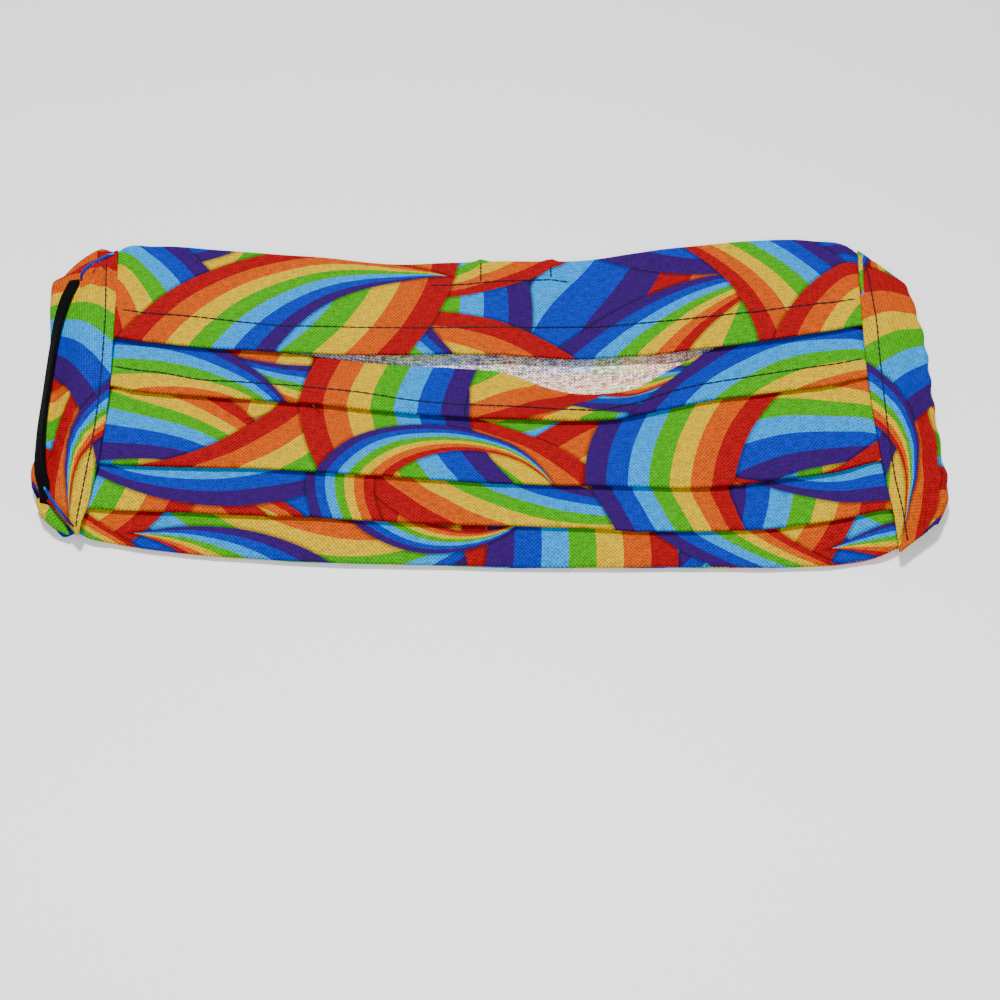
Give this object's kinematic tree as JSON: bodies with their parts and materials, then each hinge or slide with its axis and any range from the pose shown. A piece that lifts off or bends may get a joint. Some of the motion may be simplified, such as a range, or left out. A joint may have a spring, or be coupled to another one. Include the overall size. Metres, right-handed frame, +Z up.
{
  "type": "pleated cloth face mask",
  "caption": "Pleated cloth face mask in a rainbow print, lying flat with its lining up, the filter pocket's slit open, and flat black elastic ear loops.",
  "frame": {"origin": "on the floor under the middle of the mask's box", "axes": "+X along the mask towards its right casing, +Y towards its top edge, +Z up from the floor"},
  "size_m": [0.215, 0.0928, 0.0062],
  "materials": {
    "printed_cotton": "plain weave, matt",
    "casing_cotton": "plain weave, matt",
    "black_elastic": "ribbed flat elastic, matt"
  },
  "bodies": {
    "root": {"outer_panel": "printed_cotton", "pocket_flap": "printed_cotton", "lower_lining": "printed_cotton", "left_casing": "casing_cotton", "right_casing": "casing_cotton", "left_ear_loop": "black_elastic", "right_ear_loop": "black_elastic"}
  },
  "joints": []
}
